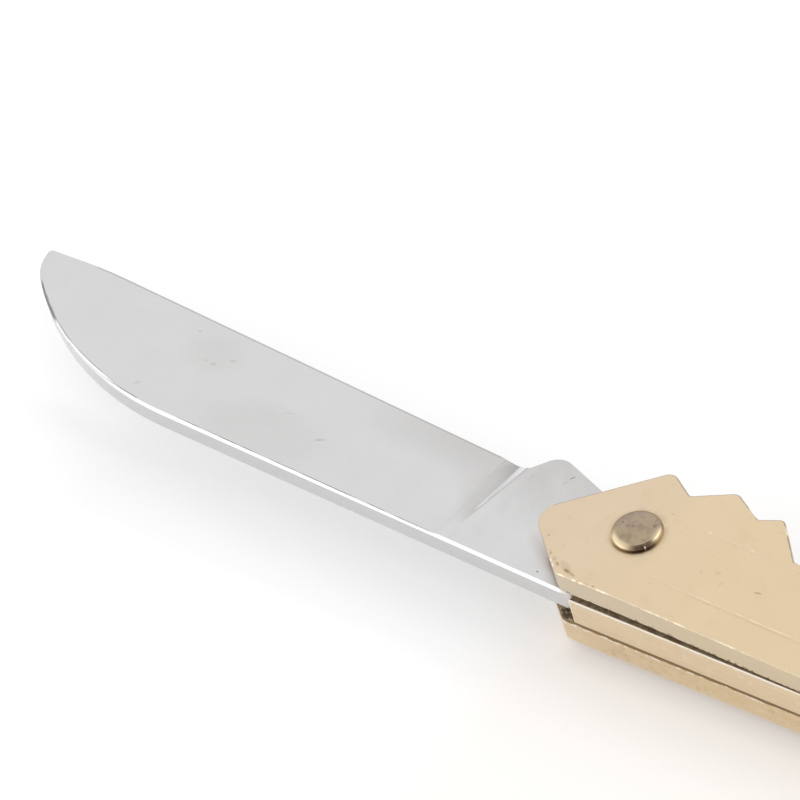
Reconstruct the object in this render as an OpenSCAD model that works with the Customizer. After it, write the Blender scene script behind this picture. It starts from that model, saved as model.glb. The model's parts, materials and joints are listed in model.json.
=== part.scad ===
// Key-shaped folding pocket knife, blade open.
// Sizes are in millimetres. The knife lies flat: Z is up, square to the scales.
// Outlines are drawn about the pivot, with the bow towards +X and the edge towards +Y.

/* [Handle] */
// Pivot to the corner of the top scale's nose, before that corner is rounded
nose_reach = 6; // [5.6:0.1:6.6]
// How much further the bottom scale's nose reaches
nose_extra = 0.45; // [0:0.05:0.6]
// Pivot line to the straight back edge
back_y = 4.2; // [4:0.1:4.8]
// Pivot line to the uncut crest of the toothed edge
crest_y = 4.6; // [4.6:0.1:5]
// Width of the round bow
bow_w = 24; // [21:0.5:26.5]
// Thickness of the top scale
top_scale_t = 1.35; // [1.2:0.05:2]
// Thickness of the bottom scale
bottom_scale_t = 1.7; // [1.3:0.05:2.2]
// Thickness of the spring plate between the scales
plate_t = 1.85; // [1.65:0.05:2.2]
// How far the top scale is sprung open at the pivot
front_lift = 0.55; // [0.4:0.05:0.7]
// Depth of the milled channel along each scale
channel_depth = 0.08; // [0.06:0.02:0.3]
// Height of the channel's lower wall below the pivot line
channel_low = 2.2; // [1.8:0.05:2.4]
// Height of the channel's upper wall above the pivot line
channel_high = 1.75; // [1.6:0.05:1.8]

/* [Key ring hole] */
// Radius of the key ring hole
ring_r = 2.75; // [2:0.25:3]
// Metal between the hole and the end of the bow
ring_margin = 3.2; // [2.5:0.1:4]
// Metal between the hole and the blade's pocket
ring_wall = 4.2; // [3:0.1:5]

/* [Blade] */
// Pivot to the tip
blade_reach = 44.28; // [41:0.02:48]
// Thickness at the ricasso
blade_t = 1.35; // [1.2:0.05:1.4]
// Pivot line to the spine
spine_y = 3.87; // [3.8:0.01:4]
// Pivot line to the edge at the heel
heel_y = 2.65; // [2.5:0.01:2.8]
// Pivot to the start of the ground edge
heel_x = 11.4; // [11:0.1:13]
// Angle by which the edge widens away from the spine
edge_widening = 1.72; // [1:0.02:2]
// Radius of the spine's sweep down to the tip
sweep_r = 19.25; // [14:0.25:24]
// Grind angle of each face
grind_angle = 5.34; // [4.8:0.02:5.6]
// Thickness left at the edge
edge_t = 0.06; // [0.04:0.01:0.12]
// Radius of the wheel that leaves the plunge
plunge_r = 3; // [2:0.25:4]
// Chamfer along both corners of the spine
spine_chamfer = 0.15; // [0.1:0.01:0.3]
// Radius of the round tang
tang_r = 2.95; // [2.8:0.05:2.95]
// Angle by which the blade stands short of straight
blade_lag = 1.9; // [0:0.1:2.4]

/* [Fasteners] */
// Shank radius of the pivot rivet
pivot_r = 0.85; // [0.7:0.05:1]
// Head radius of the pivot rivet
pivot_head_r = 1.4; // [1.3:0.05:1.6]
// Shank radius of the frame rivets
frame_rivet_r = 0.75; // [0.6:0.05:0.9]
// Head radius of the frame rivets
frame_head_r = 1.25; // [1.1:0.05:1.4]
// Height of every rivet head
head_h = 0.4; // [0.3:0.05:0.6]
// How much of that height is the crown above the rim
head_crown = 0.08; // [0.04:0.01:0.15]
// Rounding of the heads' rims
head_rim_r = 0.2; // [0.1:0.05:0.25]
// Metal between the frame rivets' centres and the bow's rim
rivet_margin = 3.2; // [2.4:0.1:4]
// Outer radius of the washers beside the tang
washer_r = 2.5; // [2.2:0.05:2.7]
// Thickness of the bottom washer
bottom_washer_t = 0.25; // [0.2:0.05:0.3]

/* [Clearances] */
// Play between the pivot rivet and the blade
pivot_play = 0.04; // [0.02:0.01:0.08]
// Play between a rivet and the plates that it clamps
rivet_play = 0.02; // [0.01:0.01:0.05]
// Play on each face of each washer
washer_play = 0.025; // [0.01:0.005:0.04]
// Gap between the round tang and the spring
spring_play = 0.05; // [0.04:0.01:0.1]
// Gap at the stop when the blade is straight
stop_play = 0.15; // [0.1:0.01:0.25]
// Gap between the swinging tip and the end of its pocket
tip_play = 0.6; // [0.4:0.05:1]

/* [Hidden] */

$fn = 96;
arc_step = 11.25;       // widest angle between two points of a rounded corner
arc_chord = 0.9;        // longest straight between them
over = 1;               // how far a cutting body runs past what it cuts
span = 200;             // longer than any part of the knife

// Heights of the layers, from the table up
bottom_scale_z = head_h;
plate_z = bottom_scale_z + bottom_scale_t;
plate_top_z = plate_z + plate_t;
front_z = plate_top_z + front_lift;
blade_z = plate_z + bottom_washer_t + 2 * washer_play;
blade_mid_z = blade_z + blade_t / 2;
top_washer_z = blade_z + blade_t + washer_play;
top_washer_t = front_z - washer_play - top_washer_z;

// The top scale lies level over the pivot, then runs down to its seat on the spring plate
bend_start_x = 1.6;
bend_end_x = 17;

// Corners of the blade: x, y and rounding radius. The sweep ends where the tip's own rounding starts.
sweep_end = [-blade_reach + 1.12, 1.13];
sweep_angle = acos(1 - (sweep_end.y + spine_y) / sweep_r);
tip_angle = 80;         // lean of the short straight below the tip's corner
tip_flat = 0.28;        // length of that straight
tip_run = 1.11;         // from the sweep's end to the corner that the tip's rounding replaces
tip_turn = sweep_end + tip_run * [-cos(sweep_angle), sin(sweep_angle)];
tip = tip_turn + (tip_run + tip_flat) * [-cos(tip_angle), sin(tip_angle)];
tip_turn_r = (tip_run - 0.03) / tan((tip_angle - sweep_angle) / 2);
sweep_centre = [sweep_end.x + sweep_r * sin(sweep_angle), sweep_r - spine_y];
sweep_corner = [sweep_centre.x - sweep_r * tan(sweep_angle / 2), -spine_y, 0];
sweep_offcut = sweep_r / cos(sweep_angle / 2) - sweep_r;
belly_x = tip.x + 3.77; // where the edge's straight would meet the run up to the tip
belly = [belly_x, heel_y + (-heel_x - belly_x) * tan(edge_widening), 25];
heel = [-heel_x, heel_y, 3];
notch = [-heel_x + 1.9, heel_y - 0.4, 0.25];
kick = [notch.x + 1.12, notch.y + 1.58, 1.1];
tang_top = [-2.1, 1.93];
shoulder_x = -2.1;
blade_corners = [[shoulder_x, -spine_y, 0.4], sweep_corner, [tip_turn.x, tip_turn.y, tip_turn_r],
                 [tip.x, tip.y, 0.22], belly, heel, notch, kick,
                 [tang_top.x, tang_top.y, 0], [0, 0, 0], [shoulder_x, -tang_r + 1, 0]];
blade_outline = rounded(blade_corners);

// Pocket that the blade's tip swings into, and the bow placed behind it
pocket_r = max([for (p = blade_outline) norm(p)]) + tip_play;
ring_x = pocket_r + ring_wall + ring_r;
bow_reach = ring_x + ring_r + ring_margin;
bow_half = bow_w / 2;
bow_mid_x = bow_reach - bow_half;
rivet_spots = [for (angle = [-129, -68, 68])
    [bow_mid_x, 0] + (bow_half - rivet_margin) * [cos(angle), sin(angle)]];

// Bitting between the nose and the bow: x, y and rounding radius of every peak and valley
bitting = [[-0.68, 4.32, 0.6], [1.05, 3.30, 0.25], [3.23, 4.60, 0.5],
           [5.15, 3.58, 0.25], [6.40, 4.21, 0.35], [8.45, 2.04, 0.25],
           [9.30, 2.04, 0.25], [12.0, 3.90, 0.4], [14.3, 2.60, 0.25],
           [16.8, 4.30, 0.4], [18.9, 3.00, 0.25], [21.1, 4.40, 0.4],
           [23.1, 3.20, 0.25], [25.2, crest_y, 0.4]];
crest_end_x = 26.6;
shoulder = [crest_end_x + 0.8, crest_y + 1.2];

// Where the flanks at 45 degrees that run into the bow leave the shank's edges
flank_x = bow_mid_x - bow_half * sqrt(2);
flank_end = bow_half * [cos(45), sin(45)];

// Corners of the key outline without its round bow: x, y and rounding radius
function key_corners(extra) = concat(
    [[-nose_reach - extra, -1.1, 1.2], [-2.35 - extra, -back_y, 0.45],
     [flank_x + back_y, -back_y, 2.5], [bow_mid_x - flank_end.x, -flank_end.y, 0],
     [bow_mid_x, 0, 0], [bow_mid_x - flank_end.x, flank_end.y, 0],
     [flank_x + shoulder.y, shoulder.y, 2], [shoulder.x, shoulder.y, 0.5],
     [crest_end_x, crest_y, 0.3]],
    [for (i = [len(bitting) - 1 : -1 : 0]) bitting[i]]);

// Milled channel: it runs out gently behind the pivot rivet and before the bow
channel_start_x = bend_start_x + 0.1;
channel_run_out = 2.5;
channel_end_x = crest_end_x;

// Spring plate
spring_inner_y = tang_r + spring_play;
spring_end_x = shoulder_x + stop_play;

// The middle of the open knife's length stands over the origin
tip_end_x = min([for (p = blade_outline) p.x * cos(blade_lag) + p.y * sin(blade_lag)]);
middle_x = (bow_reach + tip_end_x) / 2;

function unit(v) = v / norm(v);

// Points of the arc that rounds corner b on the way from a to c
function corner_arc(a, b, c) =
    let (p = [b.x, b.y],
         u = unit([a.x, a.y] - p),
         v = unit([c.x, c.y] - p),
         half = acos(u * v) / 2,
         centre = p + unit(u + v) * b.z / sin(half),
         from = p + u * b.z / tan(half) - centre,
         start = atan2(from.y, from.x),
         turn = (180 - 2 * half) * (cross(u, v) > 0 ? -1 : 1),
         steps = max(ceil(abs(turn) / arc_step), ceil(b.z * abs(turn) * PI / 180 / arc_chord)))
    [for (i = [0 : steps]) centre + b.z * [cos(start + turn * i / steps), sin(start + turn * i / steps)]];

// A closed outline with each corner rounded by its own radius
function rounded(corners) =
    let (n = len(corners))
    [for (i = [0 : n - 1])
        each corners[i].z == 0
            ? [[corners[i].x, corners[i].y]]
            : corner_arc(corners[(i + n - 1) % n], corners[i], corners[(i + 1) % n])];

// Height of the top scale's lower face at x
function seat_z(x) =
    plate_top_z + front_lift * min(max((bend_end_x - x) / (bend_end_x - bend_start_x), 0), 1);

module place() {
    translate([-middle_x, 0, 0]) children();
}

module key_shape(height, extra = 0) {
    linear_extrude(height) polygon(rounded(key_corners(extra)));
    translate([bow_mid_x, 0, 0]) cylinder(h = height, r = bow_half);
}

// Extrudes a profile drawn in X and Z across the knife, from y_low to y_high
module across(y_low, y_high) {
    translate([0, y_high, 0]) rotate([90, 0, 0]) linear_extrude(y_high - y_low) children();
}

// Side view of what the channel cutter takes from a face at heights given by face_z
module channel_profile(stations, face_z, side) {
    depths = [0, channel_depth, channel_depth, channel_depth, 0];
    floor_points = [for (i = [0 : 4]) [stations[i], face_z[i] - side * depths[i]]];
    polygon(concat(floor_points, [[stations[4], face_z[4] + side * over],
                                  [stations[0], face_z[0] + side * over]]));
}

channel_stations = [channel_start_x, channel_start_x + channel_run_out, bend_end_x,
                    channel_end_x - channel_run_out, channel_end_x];

module plate_holes() {
    translate([ring_x, 0, 0]) cylinder(h = span, r = ring_r, center = true);
    for (spot = rivet_spots) {
        translate(spot) cylinder(h = span, r = frame_rivet_r + rivet_play, center = true);
    }
}

module pivot_hole(play) {
    cylinder(h = span, r = pivot_r + play, center = true);
}

// Side view of the sprung top scale
module sprung_profile() {
    ends = [-nose_reach - over, bend_start_x, bend_end_x, bow_reach + over];
    lower = [for (x = ends) [x, seat_z(x)]];
    upper = [for (i = [3 : -1 : 0]) [ends[i], seat_z(ends[i]) + top_scale_t]];
    polygon(concat(lower, upper));
}

module top_scale() {
    color("#e2cca4") place() difference() {
        intersection() {
            translate([0, 0, plate_z]) key_shape(top_scale_t + plate_t + front_lift + over);
            across(-bow_w, bow_w) sprung_profile();
        }
        across(-channel_low, channel_high)
            channel_profile(channel_stations, [for (x = channel_stations) seat_z(x) + top_scale_t], 1);
        plate_holes();
        pivot_hole(rivet_play);
    }
}

module bottom_scale() {
    color("#d6c098") place() difference() {
        translate([0, 0, bottom_scale_z]) key_shape(bottom_scale_t, nose_extra);
        across(-channel_low, channel_high)
            channel_profile(channel_stations, [for (x = channel_stations) bottom_scale_z], -1);
        plate_holes();
        pivot_hole(rivet_play);
    }
}

// One plate: a slender spring along the back, joined to the filler between the halves of the bow
module back_spring() {
    color("#ccb88e") place() difference() {
        translate([0, 0, plate_z]) key_shape(plate_t);
        translate([spring_end_x - span, -bow_w, 0]) cube([span, 2 * bow_w, span]);
        intersection() {
            cylinder(h = span, r = pocket_r);
            translate([-span / 2, -spring_inner_y, 0]) cube([span, span, span]);
        }
        plate_holes();
    }
}

// What the grinding wheel takes from the upper face, drawn with the blade's mid-plane at zero
module grind_cut() {
    translate([-heel_x, heel_y, edge_t / 2]) rotate([0, 0, -edge_widening]) rotate([-grind_angle, 0, 0])
        across(-spine_y - heel_y - over, over) {
            translate([-span, 0]) square([span, plunge_r + blade_t]);
            translate([0, plunge_r]) circle(plunge_r);
            translate([-span, plunge_r]) square([span + plunge_r, blade_t]);
        }
}

// Chamfer of the straight spine's upper corner
module spine_cut() {
    translate([sweep_centre.x, -spine_y, 0]) mirror([0, 1, 0]) rotate([90, 0, 90])
        linear_extrude(shoulder_x - sweep_centre.x + over)
            polygon([[-spine_chamfer - over, blade_t / 2 + over],
                     [over, blade_t / 2 - spine_chamfer - over],
                     [over, blade_t / 2 + over]]);
}

// Turns the spine's sweep, with the chamfers of both its corners
module sweep_cut() {
    top = blade_t / 2 + over;
    chamfer_z = blade_t / 2 - spine_chamfer;
    translate(sweep_centre) rotate([0, 0, 270 - sweep_angle]) rotate_extrude(angle = sweep_angle)
        translate([sweep_r, 0])
            polygon([[0, -chamfer_z], [0, chamfer_z], [-spine_chamfer - over, top],
                     [sweep_offcut + over, top], [sweep_offcut + over, -top],
                     [-spine_chamfer - over, -top]]);
}

module blade() {
    color("#d6d6d8") place() translate([0, 0, blade_mid_z]) rotate([0, 0, -blade_lag]) difference() {
        union() {
            translate([0, 0, -blade_t / 2]) linear_extrude(blade_t) polygon(blade_outline);
            cylinder(h = blade_t, r = tang_r, center = true);
        }
        for (face = [0, 1]) {
            mirror([0, 0, face]) grind_cut();
            mirror([0, 0, face]) spine_cut();
        }
        sweep_cut();
        pivot_hole(pivot_play);
    }
}

// Rivet head on z = 0, crowned and with a rounded rim
module rivet_head(radius) {
    rotate_extrude() polygon(rounded([[0, 0, 0], [radius, 0, 0],
                                      [radius, head_h - head_crown, head_rim_r], [0, head_h, 0]]));
}

// A rivet headed at both ends, gripping the stack from z = head_h up to grip_top
module rivet(shank, head, grip_top) {
    translate([0, 0, head_h - over / 4]) cylinder(h = grip_top - head_h + over / 2, r = shank);
    translate([0, 0, head_h]) mirror([0, 0, 1]) rivet_head(head);
    translate([0, 0, grip_top]) rivet_head(head);
}

module pivot_rivet() {
    color("#a8957c") place() rivet(pivot_r, pivot_head_r, front_z + top_scale_t);
}

module frame_rivets() {
    color("#b09c80") place() for (spot = rivet_spots) {
        translate(spot) rivet(frame_rivet_r, frame_head_r, plate_top_z + top_scale_t);
    }
}

module washer(thickness) {
    difference() {
        cylinder(h = thickness, r = washer_r);
        pivot_hole(pivot_play);
    }
}

module top_washer() {
    color("#c9b583") place() translate([0, 0, top_washer_z]) washer(top_washer_t);
}

module bottom_washer() {
    color("#c9b583") place() translate([0, 0, plate_z + washer_play]) washer(bottom_washer_t);
}

top_scale();
bottom_scale();
back_spring();
blade();
pivot_rivet();
top_washer();
bottom_washer();
frame_rivets();
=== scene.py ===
import json
import math

import bmesh
import bpy
from mathutils import Matrix, Vector


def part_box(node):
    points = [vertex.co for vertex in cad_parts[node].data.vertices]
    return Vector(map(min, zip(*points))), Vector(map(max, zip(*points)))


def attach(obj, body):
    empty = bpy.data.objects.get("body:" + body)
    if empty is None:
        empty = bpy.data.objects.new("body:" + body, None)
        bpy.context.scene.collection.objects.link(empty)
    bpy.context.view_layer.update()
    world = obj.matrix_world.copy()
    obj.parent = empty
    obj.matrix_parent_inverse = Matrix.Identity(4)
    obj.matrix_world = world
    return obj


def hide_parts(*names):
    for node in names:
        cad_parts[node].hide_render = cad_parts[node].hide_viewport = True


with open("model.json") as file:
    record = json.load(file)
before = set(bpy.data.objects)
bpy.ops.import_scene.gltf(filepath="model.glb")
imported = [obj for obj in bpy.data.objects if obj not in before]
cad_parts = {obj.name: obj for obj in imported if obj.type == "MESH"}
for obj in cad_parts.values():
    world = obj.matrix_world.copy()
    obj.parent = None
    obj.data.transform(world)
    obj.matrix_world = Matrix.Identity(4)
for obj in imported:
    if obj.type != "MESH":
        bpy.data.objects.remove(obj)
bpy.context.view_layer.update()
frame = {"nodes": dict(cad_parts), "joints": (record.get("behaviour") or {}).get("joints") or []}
nodes = frame["nodes"]
mm = 0.001

hinge = next(j for j in frame["joints"] if j["name"] == "blade_hinge")
pivot = Vector(hinge["pos_m"])

camera = {
    "position": (206.75, -195.55, 304.57),  # millimetres from the pivot, with Z from the table
    "azimuth": 48.55,
    "elevation": 45.0,
    "roll": 17.0,  # the photograph leans to the left
    "lens": 360.0,
}


def addCamera():
    data = bpy.data.cameras.new("camera")
    data.lens = camera["lens"]
    data.sensor_width = 36.0
    data.clip_start = 0.01
    data.clip_end = 20.0
    cam = bpy.data.objects.new("camera", data)
    bpy.context.scene.collection.objects.link(cam)
    turn = (Matrix.Rotation(math.radians(camera["azimuth"]), 4, "Z")
            @ Matrix.Rotation(math.radians(90 - camera["elevation"]), 4, "X")
            @ Matrix.Rotation(math.radians(-camera["roll"]), 4, "Z"))
    place = Vector(camera["position"]) * mm + Vector((pivot.x, pivot.y, 0))
    cam.matrix_world = Matrix.Translation(place) @ turn
    bpy.context.scene.camera = cam


class Wire:  # a node's output that can stand in a sum
    def __init__(self, web, socket):
        self.web = web
        self.socket = socket

    def __add__(self, other):
        return self.web.calc("ADD", self, other)

    __radd__ = __add__

    def __mul__(self, other):
        return self.web.calc("MULTIPLY", self, other)

    __rmul__ = __mul__

    def __sub__(self, other):
        return self.web.calc("SUBTRACT", self, other)

    def __rsub__(self, other):
        return self.web.calc("SUBTRACT", other, self)

    def __truediv__(self, other):
        return self.web.calc("DIVIDE", self, other)

    def __rtruediv__(self, other):
        return self.web.calc("DIVIDE", other, self)

    def __pow__(self, other):
        return self.web.calc("POWER", self, other)

    def __rpow__(self, other):
        return self.web.calc("POWER", other, self)

    def atLeast(self, other):
        return self.web.calc("MAXIMUM", self, other)

    def atMost(self, other):
        return self.web.calc("MINIMUM", self, other)

    def ramp(self, low, high):  # 0 at low and 1 at high, with soft ends
        return self.web.node("ShaderNodeMapRange", {"interpolation_type": "SMOOTHSTEP"},
                             {"Value": self, "From Min": low, "From Max": high})

    def band(self, low, high, soft):  # 1 between low and high
        return self.ramp(low - soft, low + soft) * (1 - self.ramp(high - soft, high + soft))


class Web:  # the nodes of a material or of the world
    def __init__(self, owner):
        owner.use_nodes = True
        self.tree = owner.node_tree

    def node(self, kind, settings=None, values=None, out=0):
        made = self.tree.nodes.new(kind)
        for key, value in (settings or {}).items():
            setattr(made, key, value)
        for key, value in (values or {}).items():
            socket = made.inputs[key]
            if isinstance(value, Wire):
                self.tree.links.new(value.socket, socket)
            elif socket.type == "RGBA":
                socket.default_value = (*value[:3], 1)
            else:
                socket.default_value = value
        return Wire(self, made.outputs[out])

    def calc(self, operation, first, second):
        return self.node("ShaderNodeMath", {"operation": operation}, {0: first, 1: second})

    def axes(self, vector):  # its x, y and z
        outs = self.node("ShaderNodeSeparateXYZ", {}, {0: vector}).socket.node.outputs
        return [Wire(self, out) for out in outs]

    def mix(self, share, first, second, blend="MIX"):
        return self.node("ShaderNodeMix", {"data_type": "RGBA", "blend_type": blend},
                         {0: share, 6: first, 7: second}, out=2)

    def grey(self, value):
        return self.node("ShaderNodeCombineColor", {}, {0: value, 1: value, 2: value})


class Finish(Web):  # a material whose colour is laid on coat by coat; parts are face attributes
    def __init__(self, name, colour, parts=()):
        self.material = bpy.data.materials.new(name)
        super().__init__(self.material)
        self.shader = self.tree.nodes["Principled BSDF"]
        coords = self.node("ShaderNodeTexCoord", out="Object")
        self.place = self.node("ShaderNodeMapping", {}, {  # millimetres from the pivot
            "Vector": coords, "Location": (-pivot.x / mm, 0, 0), "Scale": (1 / mm, 1 / mm, 1 / mm)})
        self.x, self.y, self.z = self.axes(self.place)
        self.colour = colour
        for part in parts:
            setattr(self, part, self.node("ShaderNodeAttribute", {"attribute_name": part}, out="Fac"))

    def paint(self, share, colour):
        self.colour = self.mix(share, self.colour, colour)

    def vary(self, brightness):
        self.colour = self.mix(1.0, self.colour, self.grey(brightness), "MULTIPLY")

    def fromAxis(self):  # distance from the pivot's axis
        return (self.x * self.x + self.y * self.y) ** 0.5

    def drawnOut(self, turn, scale):  # coordinates turned about Z, then stretched
        turned = self.node("ShaderNodeMapping", {}, {"Vector": self.place,
                                                     "Rotation": (0, 0, math.radians(turn))})
        return self.node("ShaderNodeMapping", {}, {"Vector": turned, "Scale": scale})

    def cloud(self, scale, detail=2.0, vector=None):  # noise about a half, scale to the millimetre
        return self.node("ShaderNodeTexNoise", {}, {"Vector": vector or self.place, "Scale": scale,
                                                    "Detail": detail})

    def spot(self, x, y, radius, stretch=1.0, turn=0.0):  # 1 within a small soft mark
        c, s = math.cos(math.radians(turn)), math.sin(math.radians(turn))
        along = ((self.x - x) * c + (self.y - y) * s) * (1 / stretch)
        across = (self.y - y) * c - (self.x - x) * s
        return 1 - ((along * along + across * across) ** 0.5).ramp(radius * 0.4, radius)

    def line(self, start, end):  # distance from a straight line, positive on its left
        run = (Vector(end) - Vector(start)).normalized()
        return (self.y - start[1]) * run.x - (self.x - start[0]) * run.y

    def bump(self, height, distance, strength, normal=None):
        values = {"Height": height, "Distance": distance * mm, "Strength": strength}
        if normal:
            values["Normal"] = normal
        return self.node("ShaderNodeBump", {}, values)

    def wire(self, name, value):
        self.tree.links.new(value.socket, self.shader.inputs[name])


def newPiece(name, form, body, material, source, smooth):
    mesh = bpy.data.meshes.new(name)
    form.to_mesh(mesh)
    form.free()
    mesh.shade_smooth()
    mesh.set_sharp_from_angle(angle=math.radians(smooth))
    mesh.materials.append(material)
    piece = bpy.data.objects.new(name, mesh)
    bpy.context.scene.collection.objects.link(piece)
    weighted = piece.modifiers.new("weighted", "WEIGHTED_NORMAL")
    weighted.keep_sharp = True
    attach(piece, body)
    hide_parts(source)
    print("made", name, len(mesh.polygons), "faces")


def addParts(form, parts):
    for name in parts:
        form.faces.layers.float.new(name)


def wholeFaces(source, angle, parts):  # a CAD mesh, merged, with each flat face in one piece
    form = bmesh.new()
    form.from_mesh(nodes[source].data)
    addParts(form, parts)
    bmesh.ops.remove_doubles(form, verts=form.verts, dist=0.001 * mm)
    bmesh.ops.dissolve_limit(form, angle_limit=math.radians(angle), verts=form.verts, edges=form.edges)
    form.normal_update()
    return form


def rise(face):  # height of a wall at its tallest corner, in millimetres
    runs = [(e.verts[0].co - e.verts[1].co) / mm for e in face.edges]
    return max((abs(run.z) for run in runs if run.xy.length < abs(run.z) * 0.3), default=0)


def height(face):  # from its lowest corner to its highest, in millimetres
    levels = [v.co.z / mm for v in face.verts]
    return max(levels) - min(levels)


def mark(form, name, chosen):
    layer = form.faces.layers.float[name]
    for face in chosen:
        face[layer] = 1.0


def roundEdges(form, edges, offset, segments):
    made = bmesh.ops.bevel(form, geom=edges, offset=offset * mm, offset_type="OFFSET", segments=segments,
                           profile=0.5, affect="EDGES", material=-1)
    form.normal_update()
    return made["faces"]


def nearAxis(edge, axes, reach):  # reach in millimetres
    middle = (edge.verts[0].co + edge.verts[1].co) / 2
    return any(math.hypot(middle.x - x, middle.y - y) < reach * mm for x, y in axes)


addCamera()
print("placed the camera")

# plates: the two scales and the spring plate between them

plates = {
    "rims": {"top_scale": 0.07, "bottom_scale": 0.17, "back_spring": 0.11},  # rounding, millimetres
    "rimSteps": 3,
    "boreReach": 1.1,  # no rounding this near a rivet's axis
    "lean": 0.08,      # how far the foot of the channel's walls stands out
    "sharpFrom": 35,   # degrees
}

plateParts = ("wall", "groove", "inner", "rim", "upperRim", "farRim")


def rivetAxes():  # middles of the frame rivets, from their CAD meshes
    heads = bmesh.new()
    heads.from_mesh(nodes["frame_rivets"].data)
    bmesh.ops.remove_doubles(heads, verts=heads.verts, dist=0.001 * mm)
    left, middles = set(heads.verts), []
    while left:
        island, front = [], [left.pop()]
        while front:
            vert = front.pop()
            island.append(vert.co)
            near = {edge.other_vert(vert) for edge in vert.link_edges} & left
            left -= near
            front += near
        middles.append(tuple((max(c[i] for c in island) + min(c[i] for c in island)) / 2 for i in (0, 1)))
    heads.free()
    return sorted(middles)


rivets = [(pivot.x, pivot.y)] + rivetAxes()


def platePiece(source, innerUp, innerDown):
    form = wholeFaces(source, 0.3, plateParts)
    walls = [f for f in form.faces if abs(f.normal.z) < 0.5]
    outer = {f for f in walls if rise(f) > 0.5}
    mark(form, "wall", outer)
    grooves = set(walls) - outer
    mark(form, "groove", grooves)
    for face in grooves:  # the cutter's worn corners leave leaning walls
        top = {v for e in face.edges if e.is_convex for v in e.verts}
        for vert in set(face.verts) - top:
            vert.co += face.normal * plates["lean"] * mm
    mark(form, "inner", [f for f in form.faces
                         if (innerUp and f.normal.z > 0.9) or (innerDown and f.normal.z < -0.9)])
    edges = [e for e in form.edges if len(e.link_faces) == 2 and e.calc_face_angle() > math.radians(40)
             and len(outer & set(e.link_faces)) == 1 and not nearAxis(e, rivets, plates["boreReach"])]
    made = roundEdges(form, edges, plates["rims"][source], plates["rimSteps"])
    mark(form, "rim", made)
    mark(form, "upperRim", [f for f in made if f.normal.z > 0.1])
    mark(form, "farRim", [f for f in made if f.normal.z > 0.1 and f.normal.y > 0.15])
    return form


brass = {
    "top": (0.758, 0.604, 0.398),
    "topFront": (0.738, 0.596, 0.438),  # cooler towards the nose
    "bottom": (0.83, 0.665, 0.44),
    "bottomFront": (0.84, 0.68, 0.485),
    "spring": (0.835, 0.69, 0.49),
    "washer": (0.6, 0.46, 0.28),
    "paleWearAndSheen": (0.97, 0.88, 0.68),         # wear, lighter patches and painted highlights on rims and edges
    "brightWearAndSheen": (0.95, 0.87, 0.77),         # wear, lighter patches and painted highlights on the spring plate's upper edge and front corner, below the joint and on the rivet rims
    "lit": (1.0, 0.86, 0.64),           # painted light low on the bottom scale's walls
    "cool": (0.49, 0.51, 0.46),         # painted shade on the top scale's walls
    "olive": (0.33, 0.25, 0.12),        # specks, scratches and dirt, and painted shade on walls, beside the channel's edge and round the rivet
    "farRimShade": (0.34, 0.25, 0.19),         # painted shade on the rims of the toothed side
    "paintedLit": (0.79, 0.635, 0.43),      # the channel's far wall, painted matt in the lit top face's tone
    "dust": (0.33, 0.25, 0.15),         # light dirt on the inner faces
    "pocket": (0.46, 0.36, 0.22),       # and on the bottom scale's
    "slotShade": (0.21, 0.14, 0.075),        # painted shade in the gap over the spring plate and on the hidden inner faces
    "seamShadeAndDirt": (0.23, 0.14, 0.045),        # painted shade and dirt in the joint below the spring plate
    "grimeAndShade": (0.11, 0.068, 0.038),      # painted shade and dirt under the rivet heads and in the bottom scale's pocket
}


class Brass(Finish):  # what all the brass pieces have in common
    def __init__(self, name, body, nose, specks, wallShadeColour=brass["olive"], wallShade=0.12):
        super().__init__(name, nose, plateParts)
        self.outside = self.wall + self.rim
        self.backSide = 1 - self.y.ramp(-3.7, -3.2)  # the side away from the teeth
        self.metal = 1 - self.inner
        self.fine = self.cloud(6.0, 3.0)
        self.drawn = self.cloud(1.0, 3.0, self.drawnOut(0, (0.25, 7.0, 7.0)))
        broad = self.cloud(0.3, 3.0)
        self.paint(self.x.ramp(-7, 9), body)
        self.vary((self.fine - 0.5) * 0.05 + (self.drawn - 0.5) * 0.03 + (broad - 0.5) * 0.06 + 1.0)
        # the walls painted darker and greyer: painted shade, streaked along the drawn grain
        self.paint(self.wall * (wallShade + (self.drawn - 0.5) * 0.25), wallShadeColour)
        wide = self.cloud(0.7, 3.0).ramp(0.55, 0.75) * 0.12
        small = self.cloud(2.2, 3.0).ramp(0.62, 0.75) * self.cloud(0.5).ramp(0.4, 0.6) * 0.25
        self.paint((wide + small) * specks, brass["olive"])

    def dull(self, share):  # a coat that hides the metal
        self.metal = self.metal * (1 - share)

    def done(self, light=brass["dust"], dark=brass["slotShade"]):
        # the hidden inner faces painted dark: painted shade, with lighter dust patches
        patches = self.cloud(2.6, 3.0).ramp(0.42, 0.58).atLeast(self.y.ramp(-3.4, -2.8) * 0.7)
        self.paint(self.inner, self.mix(patches, dark, light))
        self.wire("Base Color", self.colour)
        self.wire("Roughness", 0.34 + self.fine * 0.08 + self.inner * 0.35)
        self.wire("Metallic", self.metal)
        grain = self.bump(self.fine * 0.5 + self.drawn * 0.5, 0.003, 0.5)
        self.wire("Normal", self.bump(self.cloud(2.5, 2.0) * self.rim, 0.04, 0.6, grain))
        return self.material


# top scale

channel = {  # millimetres from the pivot
    "low": -2.2,           # its edge, lightened: wear with a painted highlight
    "start": (2.6, 7.0),   # where that edge comes into sight
    "end": (24.5, 26.5),
    "farGleam": (2.8, 6.4),
}

sprung = {  # the top scale's way down to its seat, millimetres from the pivot
    "start": 1.6,
    "end": 17.0,
    "lift": 0.55,
    "seat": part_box("back_spring")[1].z / mm,
}

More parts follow.
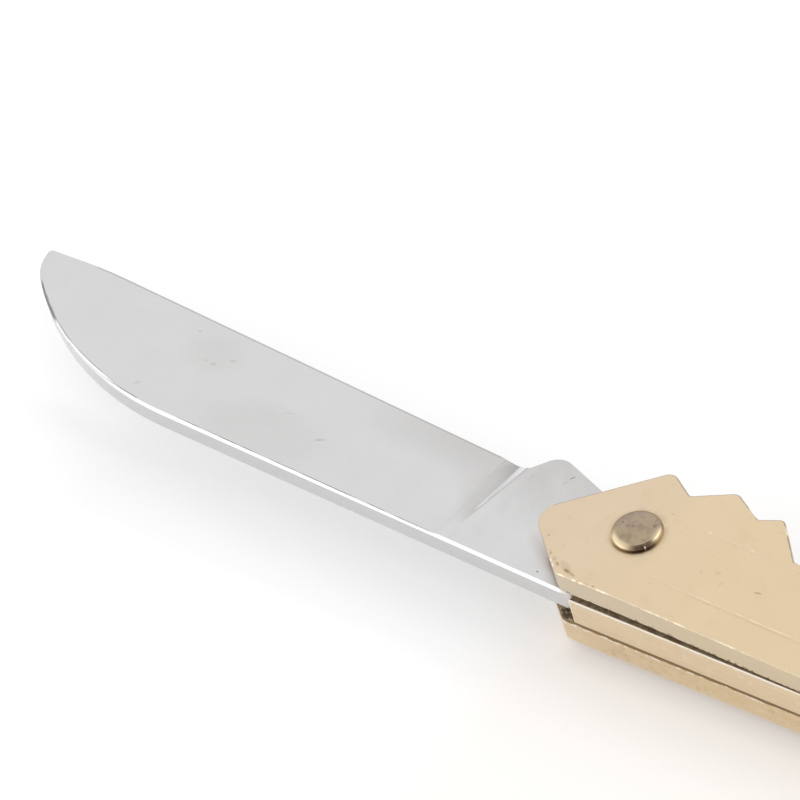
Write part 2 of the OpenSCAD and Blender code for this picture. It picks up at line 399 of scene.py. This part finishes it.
scaleMarks = [  # x, y, radius, stretch, turn and strength of each speck or scratch
    (-4.18, -2.18, 0.07, 1.3, 0, 0.6), (-3.35, -3.14, 0.10, 1.6, 120, 0.5), (-3.52, -3.02, 0.06, 1.2, 0, 0.5),
    (-2.6, -3.62, 0.13, 1.8, 140, 0.55), (-1.85, -3.80, 0.13, 2.2, 165, 0.85),
    (-2.95, -3.39, 0.16, 1.5, 120, 0.3), (-1.45, -3.90, 0.12, 2.4, 168, 0.45),
    (-2.0, -3.66, 0.3, 2.6, 150, 0.22), (0.03, -4.08, 0.07, 1.8, 175, 0.7),
    (-0.38, -4.09, 0.06, 2.0, 0, 0.35), (7.92, -0.50, 0.07, 4.0, 10, 0.6), (0.96, 1.87, 0.10, 1.2, 0, 0.22),
    (5.3, -0.32, 0.16, 1.6, 30, 0.14), (5.86, -0.87, 0.13, 1.5, 50, 0.14), (2.6, -2.6, 0.04, 7.0, 5, 0.2),
]

scaleGleams = [  # x, y, radius and stretch of each painted highlight on the rim
    (-2.04, -4.08, 0.2, 1.8), (-1.17, -4.15, 0.12, 1.5), (-0.71, -4.17, 0.11, 1.5), (0.39, -4.15, 0.10, 1.8),
    (0.7, -4.17, 0.10, 1.5), (-2.8, -3.78, 0.16, 1.3), (-3.1, -3.53, 0.13, 1.3),
]


def paintChannel(f, face, glint):
    # the far wall painted matt in the lit top face's tone, with a painted highlight near its start
    farWall = f.groove * f.y.ramp(0.5, 1.0)
    f.paint(farWall, brass["paintedLit"])
    f.paint(farWall * f.x.band(*channel["farGleam"], 0.4) * glint, brass["paleWearAndSheen"])
    f.dull(f.groove)
    edge = f.y - channel["low"]
    along = f.x.ramp(*channel["start"]) * (1 - f.x.ramp(*channel["end"]))
    broken = f.cloud(1.6, 4.0)
    # painted shade along the near side of that edge, then a light line on the edge: wear with a painted
    # highlight
    shadeBesideEdge = edge.band(-0.22, -0.06, 0.04) * along * (broken.ramp(0.3, 0.6) * 0.10 + 0.04)
    f.paint(shadeBesideEdge * face, brass["olive"])
    line = edge.band(-0.045, 0.035, 0.02) * along * (broken.ramp(0.44, 0.60) * 0.5 + 0.16) * face
    f.paint(line, brass["paleWearAndSheen"])
    f.dull(line * 0.9)


def paintSlotShade(f):  # painted shade of the gap below, reaching raggedly over the top scale's lower edge
    left = (sprung["end"] - f.x) / (sprung["end"] - sprung["start"])
    above = f.z - sprung["seat"] - left.atMost(1.0).atLeast(0.0) * sprung["lift"]
    depth = f.cloud(3.4, 3.0).ramp(0.46, 0.68) * 0.2
    slotShadeBites = f.outside * f.backSide * (1 - (above - depth).ramp(0.0, 0.04))
    f.paint(slotShadeBites * 0.85, brass["slotShade"])
    f.dull(slotShadeBites * 0.8)


def topBrass():
    f = Brass("scaleBrass", brass["top"], brass["topFront"], 0.5, brass["cool"], 0.3)
    face = (1 - f.wall) * (1 - f.rim) * (1 - f.inner) * (1 - f.groove)
    glint = f.cloud(1.1, 3.0).ramp(0.50, 0.68)
    paintChannel(f, face, glint)
    # painted shade on the rims of the toothed side
    f.paint(f.farRim * 0.9, brass["farRimShade"])
    # painted highlights, broken, along the upper rim and at the listed places
    f.paint(f.upperRim * glint * f.x.ramp(-1.0, 1.5) * 0.9, brass["paleWearAndSheen"])
    for x, y, radius, stretch in scaleGleams:
        f.paint(f.spot(x, y, radius, stretch, -15) * f.upperRim, brass["paleWearAndSheen"])
    paintSlotShade(f)
    for x, y, radius, stretch, turn, strength in scaleMarks:
        f.paint(f.spot(x, y, radius, stretch, turn) * strength * face, brass["olive"])
    reach = f.fromAxis()
    # painted shadow of the pivot rivet's head on the scale, on its side towards the back edge
    headShadow = (1 - reach.ramp(1.40, 1.56)) * (f.x * 0.35 - f.y * 0.94).ramp(0.3, 1.4)
    f.paint(headShadow * 0.88, brass["grimeAndShade"])
    # painted shade with dirt in a mottled ring round the rivet's head
    f.paint((1 - reach.ramp(1.40, 1.80)) * f.cloud(1.5, 2.0).ramp(0.3, 0.6) * face * 0.30, brass["olive"])
    return f.done()


newPiece("topScale", platePiece("top_scale", False, True), "handle", topBrass(), "top_scale",
         plates["sharpFrom"])

# bottom scale


def paintSeam(f):  # painted shade and dirt along the joint with the spring plate, and painted highlights below it
    wander = f.cloud(1.6, 4.0)
    side = f.outside * f.backSide.atLeast(f.x.ramp(38, 40))  # along the back and round the bow
    below = f.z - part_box("bottom_scale")[1].z / mm + (wander - 0.5) * 0.2
    glintsBelowSeam = side * below.band(-0.28, -0.165, 0.02) * f.cloud(2.4, 3.0).ramp(0.46, 0.58)
    f.paint(glintsBelowSeam, brass["brightWearAndSheen"])
    joint = side * below.ramp(-0.17, -0.13)
    f.paint(joint * (0.75 + wander.ramp(0.35, 0.5) * 0.25), brass["seamShadeAndDirt"])
    f.dull(joint)


def bottomBrass():
    f = Brass("tarnishedBrass", brass["bottom"], brass["bottomFront"], 1.5)
    # painted light: the bottom scale's outside lighter low down
    f.paint(f.outside * (1 - f.z.ramp(0.1, 1.5)) * 0.5, brass["lit"])
    f.paint(f.wall * f.cloud(1.2, 3.0).ramp(0.52, 0.72) * 0.2, brass["paleWearAndSheen"])
    crumbs = f.cloud(3.2, 2.0).ramp(0.56, 0.66) * f.cloud(0.5, 2.0).ramp(0.38, 0.52)
    f.paint(f.wall * f.z.band(0.6, 1.7, 0.1) * crumbs * 0.18, brass["olive"])
    paintSeam(f)
    return f.done(brass["pocket"], brass["grimeAndShade"])


newPiece("bottomScale", platePiece("bottom_scale", True, False), "handle", bottomBrass(),
         "bottom_scale", plates["sharpFrom"])

# spring plate


def springBrass():
    f = Brass("springBrass", brass["spring"], brass["spring"], 0.6)
    low, high = (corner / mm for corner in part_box("back_spring"))
    f.paint(f.wall * f.cloud(1.4, 3.0).ramp(0.54, 0.72) * 0.2, brass["brightWearAndSheen"])
    # a painted highlight down the front corner
    front = f.x - (low.x - pivot.x / mm)
    f.paint(f.wall * front.band(-0.05, 0.06, 0.02) * f.z.band(3.0, 4.0, 0.3), brass["brightWearAndSheen"])
    # a painted highlight along the upper rim
    shine = f.upperRim * (0.45 + f.cloud(1.6, 3.0).ramp(0.40, 0.55) * 0.55)
    f.paint(shine, brass["brightWearAndSheen"])
    sunkShade = f.upperRim * (f.z - high.z).ramp(-0.035, -0.015)  # painted shade where the rim goes down into the gap
    f.paint(sunkShade * 0.85, brass["slotShade"])
    f.dull(shine * 0.8)
    f.dull(sunkShade * 0.8)
    return f.done()


newPiece("backSpring", platePiece("back_spring", True, True), "handle", springBrass(),
         "back_spring", plates["sharpFrom"])

# blade

blade = {
    "softening": 0.03,  # rounding of the ridges, millimetres
    "bands": (0.05, 0.07, 0.05),  # widths of the bands along the rim; the first two are the sharpened one
    "keenness": 0.35,   # share of the edge's thickness that the sharpening leaves
    "plunge": 10.12,    # from the pivot to the line where the grinding stopped
    "plungeSlant": 0.215,
    "nose": ((-6.0, -1.1), (-2.35, -4.2)),  # the line of the top scale's slanting front, from the pivot
    "sharpFrom": 25,    # degrees
}

steel = {
    "body": (0.690, 0.685, 0.684),
    "shade": (0.45, 0.43, 0.42),
    # painted highlights on the chamfer and beside the plunge
    "bright": (0.80, 0.80, 0.80),
    "stain": (0.26, 0.22, 0.19),
    # painted shade at the turn of the point
    "dark": (0.17, 0.17, 0.175),
    "noseShade": (0.40, 0.32, 0.25),  # painted warm shade beside the top scale's nose
    # painted highlight along the turn of the point
    "white": (1.0, 1.0, 1.0),
}

bladeParts = ("wall", "chamfer", "ground", "honed", "burr", "lip", "crest", "scratch")

bladeMarks = [  # x, y, radius, stretch, turn and strength of each stain, pit or scratch
    (-21.2, -0.5, 0.13, 3.0, 30, 0.28), (-23.9, 0.4, 0.10, 4.0, 20, 0.14),
    (-30.07, 1.55, 0.16, 1.4, 0, 0.2), (-29.28, 2.24, 0.13, 2.0, 20, 0.2),
    (-30.66, 1.59, 0.14, 1.6, 10, 0.12), (-32.9, -1.56, 0.18, 1.6, 60, 0.15),
    (-32.4, 3.3, 0.10, 1.5, 0, 0.25), (-24.5, -1.4, 2.6, 1.9, 0, 0.06), (-30.5, 2.2, 1.8, 1.4, 0, 0.05),
    (-6.85, 3.03, 0.06, 4.0, 58, 0.7), (-7.0, 2.60, 0.05, 3.0, 50, 0.4), (-8.9, 2.2, 0.05, 6.0, 75, 0.15),
    (-4.71, -3.18, 0.07, 1.3, 0, 1.0),
]


def insetBands(form, face, kinds):  # bands along the rim, each marked with what it runs beside
    for step, width in enumerate(blade["bands"]):
        band = bmesh.ops.inset_region(form, faces=[face], thickness=width * mm, use_even_offset=True)["faces"]
        mark(form, "ground", band)
        kinds = {name: {f for f in band if any(g in near for e in f.edges for g in e.link_faces)}
                 for name, near in kinds.items()}
        if step < 2:
            for name, found in kinds.items():
                mark(form, name, found)
        if step == 0:
            mark(form, "crest", kinds["burr"])
        if step == 2:
            mark(form, "scratch", kinds["burr"] | kinds["lip"])


def bladePiece():
    form = wholeFaces("blade", 0.2, bladeParts)
    walls = {f for f in form.faces if abs(f.normal.z) < 0.5}
    thin = {f for f in walls if height(f) < 0.08}
    chamfers = {f for f in form.faces if 0.5 < abs(f.normal.z) < 0.9}
    ground = [f for f in form.faces if 0.9 < abs(f.normal.z) < 0.99995]
    mark(form, "wall", walls)
    mark(form, "chamfer", chamfers)
    mark(form, "ground", ground)
    for face in sorted(ground, key=lambda f: f.calc_area())[-2:]:
        thick = walls - thin if face.normal.z > 0 else set()
        insetBands(form, face, {"honed": thin, "burr": chamfers, "lip": thick})
    low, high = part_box("blade")
    middle = (low.z + high.z) / 2
    for vert in {v for f in thin for v in f.verts}:
        vert.co.z = middle + (vert.co.z - middle) * blade["keenness"]
    form.normal_update()
    ridges = [e for e in form.edges if len(e.link_faces) == 2 and e.calc_face_angle() > math.radians(30)
              and not any(f in thin for f in e.link_faces)
              and not nearAxis(e, rivets[:1], 1.0)
              and any(abs(f.normal.z) > 0.5 for f in e.link_faces)]
    roundEdges(form, ridges, blade["softening"], 2)
    return form


def paintPlunge(f, brushed, past):  # painted shade in the hollow that the wheel left and on the heel beyond it, and a painted highlight beside the plunge
    fade = f.y.ramp(-2.6, -0.9) * (1 - f.wall)
    hollow = (past / (f.y.ramp(-2.3, 2.8) * 4.5 + 0.9)).ramp(-1, 0) * (1 - past.ramp(0.10, 0.24))
    f.paint(hollow * fade * (0.44 + (brushed - 0.5) * 0.3), steel["shade"])
    f.paint(past.band(-0.10, 0.14, 0.06) * fade * 0.25, steel["shade"])
    f.paint(past.band(0.24, 0.70, 0.16) * fade * 0.25, steel["bright"])
    f.paint(past.band(-1.5, 0.05, 0.25) * f.y.ramp(1.4, 2.8) * 0.5 * (1 - f.wall), steel["shade"])
    heel = past.ramp(-13, -5) * (1 - past.ramp(-4.0, -1.5)) * f.y.ramp(0.4, 3.0)
    f.paint(heel * 0.30 * (1 - f.wall), steel["shade"])


def paintRicasso(f, past):
    # painted shade on the ricasso, darker towards +Y and in soft clouds, and painted warm shade beside the
    # top scale's nose
    flat = past.ramp(0.0, 0.3) * (1 - f.wall) * (1 - f.chamfer)
    cloudy = f.cloud(0.9, 2.0, f.drawnOut(-35, (1.0, 0.45, 1.0)))
    f.paint(flat * (f.y.ramp(-1.8, 3.4) * 0.34 + (cloudy - 0.5) * 0.35 + 0.02), steel["shade"])
    near = f.line(*blade["nose"]).band(-0.33, 0.6, 0.42) * f.y.ramp(-0.6, -2.2)
    f.paint(flat * near * (0.60 - f.y.ramp(-2.5, -3.1) * 0.28), steel["noseShade"])


def paintRim(f):  # painted highlight on the chamfer, painted shade on the sharpened edge, the broken burr, and painted shade and a painted highlight at the turn of the point
    f.paint(f.chamfer, f.mix(f.x.ramp(-3.3, -2.5), steel["bright"], steel["shade"]))
    f.paint(f.honed * 0.55, steel["shade"])
    tip = 1 - f.x.ramp(-35.5, -33.5)
    broken = (1 - f.y.ramp(1.4, 1.9)) * (f.cloud(0.9, 3.0).ramp(0.36, 0.62) * 0.75 + 0.2)
    f.paint((f.crest * (1 - tip) + f.scratch * tip * 0.8) * broken, steel["stain"])
    turn = f.y.band(0.25, 2.4, 0.25) * (1 - f.x.ramp(-40.4, -39.4))
    f.paint(turn * (f.lip + f.wall * 0.5) * 0.8, steel["dark"])
    shine = (f.lip + f.burr * tip) * (1 - f.y.ramp(0.05, 0.35)) * (0.7 + f.x.ramp(-39.5, -37.0) * 0.3)
    f.paint(shine, steel["white"])
    f.wire("Metallic", 1 - shine)
    f.paint(f.wall * 0.08, steel["shade"])


def satinSteel():
    f = Finish("satinSteel", steel["body"], bladeParts)
    fine = f.cloud(3.0, 3.0)
    broad = f.cloud(0.45, 3.0)
    brushed = f.cloud(1.0, 3.0, f.drawnOut(12, (6.0, 0.5, 1.0)))
    f.vary((fine - 0.5) * 0.02 + (broad - 0.5) * 0.07 + (brushed - 0.5) * 0.03 + 1.0)
    past = f.x + blade["plunge"] - f.y * blade["plungeSlant"]  # beyond the plunge, towards the handle
    paintPlunge(f, brushed, past)
    paintRicasso(f, past)
    paintRim(f)
    for x, y, radius, stretch, turn, strength in bladeMarks:
        f.paint(f.spot(x, y, radius, stretch, turn) * strength * (1 - f.wall), steel["stain"])
    f.wire("Base Color", f.colour)
    f.wire("Roughness", 0.275 + fine * 0.04 + f.ground * 0.01)
    f.wire("Normal", f.bump(brushed * (1 - f.wall), 0.0015, 0.25))
    return f.material


newPiece("bladeBody", bladePiece(), "blade", satinSteel(), "blade", blade["sharpFrom"])

# rivets and washers

rivet = {
    "pivotHead": 1.38,  # radius of the pivot rivet's heads, millimetres
    "frameHead": 1.24,
    "pivotShank": 0.85,
    "frameShank": 0.75,
    "height": 0.4,
    "crown": 0.10,      # rise of the head's dome
    "roll": 0.22,       # rounding of the rim
    "undercut": 0.04,   # how far the rim leans in towards its foot
    "turns": 96,
    "sharpFrom": 50,    # degrees
    "speckHighlightSpot": (1.08, -0.80, 0.06),  # x, y and radius
    "face": (0.43, 0.335, 0.225),
    "cool": (0.435, 0.34, 0.262),
    "brightWearAndSheen": (0.88, 0.73, 0.48),
    "rim": (0.36, 0.27, 0.16),
    "pit": (0.15, 0.105, 0.07),
    "rimShadeAndDirt": (0.115, 0.078, 0.05),
    "speckHighlight": (0.85, 0.83, 0.78),
}

rivetParts = ("roll", "foot")

rivetPits = [  # x, y and radius
    (-0.91, 0.06, 0.12), (-0.5, -0.09, 0.09), (-0.2, 0.01, 0.10), (0.79, 0.56, 0.16), (0.65, 0.95, 0.10),
]


def rivetForm(x, y, lowZ, highZ, shank, radius):
    form = bmesh.new()
    addParts(form, rivetParts)
    r = radius * mm
    roll, crown, tall, undercut = (rivet[key] * mm for key in ("roll", "crown", "height", "undercut"))
    profile = [(0, highZ)]
    for i in range(1, 6):
        profile.append(((r - roll) * i / 5, highZ - crown * (i / 5) ** 2))
    for i in range(1, 7):
        a = math.radians(15 * i)
        profile.append((r - roll + roll * math.sin(a), highZ - crown - roll + roll * math.cos(a)))
    profile += [(r - undercut, highZ - tall), (shank * mm, highZ - tall)]
    profile += [(out, lowZ + highZ - z) for out, z in reversed(profile)]
    verts = [form.verts.new((x + out, y, z)) for out, z in profile]
    edges = [form.edges.new(pair) for pair in zip(verts[:-1], verts[1:])]
    bmesh.ops.spin(form, geom=verts + edges, cent=(x, y, 0), axis=(0, 0, 1), angle=math.tau,
                   steps=rivet["turns"], use_merge=True)
    bmesh.ops.remove_doubles(form, verts=form.verts, dist=0.002 * mm)
    bmesh.ops.recalc_face_normals(form, faces=form.faces)
    for face in form.faces:
        middle = face.calc_center_median()
        if math.hypot(middle.x - x, middle.y - y) > r - roll:
            mark(form, "roll" if abs(face.normal.z) > 0.3 else "foot", [face])
    return form


def wornBronze():
    f = Finish("wornBronze", rivet["face"], rivetParts)
    fine = f.cloud(4.5, 3.0)
    blotch = f.cloud(1.7, 3.0)
    f.paint((f.y * 0.75 - f.x * 0.3 + (blotch - 0.5) * 3.0).ramp(-0.8, 0.9), rivet["cool"])
    f.paint(blotch.ramp(0.40, 0.66) * 0.30, rivet["pit"])
    f.paint(fine.ramp(0.60, 0.72) * 0.40, rivet["pit"])
    for x, y, radius in rivetPits:
        f.paint(f.spot(x, y, radius) * 0.45, rivet["pit"])
    turn = f.calc("ARCTAN2", f.y, f.x) * math.degrees(1)
    low = turn.band(-66, -14, 12)
    shoulder = f.z.ramp(5.7, 5.9) * f.fromAxis().ramp(0.96, 1.22)  # of the pivot rivet's upper head
    f.paint(f.roll * 0.35, rivet["rim"])
    # painted highlights in two arcs on the shoulder's bright wear
    paintedLit = turn.band(-142, -80, 20) + turn.band(-14, 28, 14) * 0.55
    f.paint(shoulder * paintedLit * (0.95 + (blotch - 0.5) * 0.6), rivet["brightWearAndSheen"])
    # painted shade with dirt on the rim's low side and on the foot
    f.paint(f.roll * low * (0.92 + (fine - 0.5) * 0.6), rivet["rimShadeAndDirt"])
    f.paint(f.foot * (0.45 + low * 0.4), brass["grimeAndShade"])
    # a painted highlight speck on the rim
    f.paint(f.spot(*rivet["speckHighlightSpot"]) * 0.9, rivet["speckHighlight"])
    f.wire("Base Color", f.colour)
    f.wire("Roughness", 0.26 + fine * 0.2)
    f.shader.inputs["Metallic"].default_value = 1.0
    f.wire("Normal", f.bump(blotch + fine * 0.4, 0.03, 0.5))
    return f.material


def rivetPiece(name, source, axes, shank, radius):
    low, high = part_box(source)
    form = bmesh.new()
    for x, y in axes:
        one = rivetForm(x, y, low.z, high.z, shank, radius)
        mesh = bpy.data.meshes.new("oneRivet")
        one.to_mesh(mesh)
        one.free()
        form.from_mesh(mesh)
        bpy.data.meshes.remove(mesh)
    newPiece(name, form, "handle", bronze, source, rivet["sharpFrom"])


bronze = wornBronze()
rivetPiece("pivotRivet", "pivot_rivet", rivets[:1], rivet["pivotShank"], rivet["pivotHead"])
rivetPiece("frameRivets", "frame_rivets", rivets[1:], rivet["frameShank"], rivet["frameHead"])

washerBrass = Brass("washerBrass", brass["washer"], brass["washer"], 0.4).done()
for name in ("top_washer", "bottom_washer"):
    nodes[name].data.materials.clear()
    nodes[name].data.materials.append(washerBrass)
print("dressed the washers")

# floor and light

studio = {
    "floorSize": 1.5,     # metres to each side
    "floor": (0.88, 0.88, 0.88),
    "shadowShare": 0.70,  # share of the floor's own shading that shows
    "glow": 0.39,         # white that the floor adds where it is seen
    "behindCamera": (0.53, -0.468, 0.707),  # direction in which the sky is darker
    "cameraSide": 0.5,    # how much darker it is there
    "backLow": 0.3,       # how much darker it is low down behind the knife
    "warmth": (1.0, 0.967, 0.935),    # painted warm light from the brass on the floor before the handle
    "contactShadow": (0.85, 0.820, 0.790),  # painted shadow on the floor right under the handle's edge
    "nearBlade": 0.10,    # how much lighter the shadow is painted beside the point
    "farShade": 0.045,    # how much deeper it is painted further out
}

lamps = {  # direction, distance and size in metres, and radiance
    "mainLamp": ((0.35, 0.55, 0.8), 0.7, 0.42, 1.7),
    "frontCard": ((-0.60, -0.70, 0.42), 0.6, 0.32, 0.8),
}


def addFloor():
    form = bmesh.new()
    bmesh.ops.create_grid(form, x_segments=1, y_segments=1, size=studio["floorSize"])
    mesh = bpy.data.meshes.new("floor")
    form.to_mesh(mesh)
    form.free()
    mesh.materials.append(floorPaper())
    floor = bpy.data.objects.new("floor", mesh)
    bpy.context.scene.collection.objects.link(floor)


def floorPaper():
    f = Finish("paper", (1, 1, 1))
    paths = f.node("ShaderNodeLightPath").socket.node.outputs
    seen = sum(Wire(f, paths[kind]) for kind in ("Is Camera Ray", "Is Glossy Ray", "Is Transmission Ray"))
    # painted light and shade on the floor: the shadow lifted beside the point and deepened further out, warm
    # light from the brass before the handle and a shadow under its edge
    lift = f.y.ramp(-3.6, -1.3) * (1 - f.y.ramp(1, 4)) * (1 - f.x.ramp(-40, -12) * 0.7) * studio["nearBlade"]
    deep = f.y.band(-8.5, -4.6, 1.2) * f.x.band(-36, -6, 4) * studio["farShade"]
    warm = f.x.ramp(-9, -2) * (1 - f.x.ramp(30, 70)) * f.y.ramp(-70, -25) * (1 - f.y.ramp(-4, -2))
    contactShadow = f.x.ramp(-3.4, -1.6) * (1 - f.x.ramp(32, 38)) * f.y.ramp(-5.9, -4.1) * (1 - f.y.ramp(-2.5, 0))
    f.paint(warm, studio["warmth"])
    f.paint(contactShadow, studio["contactShadow"])
    f.vary(1 + lift - deep)
    shown = tuple(c * studio["shadowShare"] for c in studio["floor"])
    f.wire("Base Color", f.mix(seen, studio["floor"], f.mix(1.0, f.colour, shown, "MULTIPLY")))
    glow = f.mix(1.0, f.colour, (studio["glow"],) * 3, "MULTIPLY")
    f.wire("Emission Color", f.mix(seen, (0, 0, 0), glow))
    f.shader.inputs["Emission Strength"].default_value = 1.0
    f.shader.inputs["Roughness"].default_value = 0.9
    f.shader.inputs["Specular IOR Level"].default_value = 0.1
    return f.material


def addWorld():
    world = bpy.data.worlds.new("studio")
    bpy.context.scene.world = world
    web = Web(world)
    sky = web.node("ShaderNodeTexCoord", out="Generated")
    y, z = web.axes(sky)[1:]
    towards = web.node("ShaderNodeVectorMath", {"operation": "DOT_PRODUCT"},
                       {0: sky, 1: studio["behindCamera"]}, out="Value")
    dim = towards.ramp(0.80, 0.97) * studio["cameraSide"]
    low = y.ramp(0.1, 0.5) * (1 - z.ramp(0.15, 0.50)) * studio["backLow"]
    background = web.tree.nodes["Background"]
    web.tree.links.new(web.grey((1 - dim) * (1 - low)).socket, background.inputs["Color"])
    background.inputs["Strength"].default_value = 1.0


def softLamp(name, direction, distance, size, radiance):
    data = bpy.data.lights.new(name, "AREA")
    data.size = size
    data.energy = radiance * math.pi * size * size
    lamp = bpy.data.objects.new(name, data)
    bpy.context.scene.collection.objects.link(lamp)
    lamp.location = Vector(direction).normalized() * distance
    lamp.rotation_euler = lamp.location.to_track_quat("Z", "Y").to_euler()


addFloor()
addWorld()
for name, values in lamps.items():
    softLamp(name, *values)
bpy.context.scene.view_settings.view_transform = "Standard"
print("lit the scene")
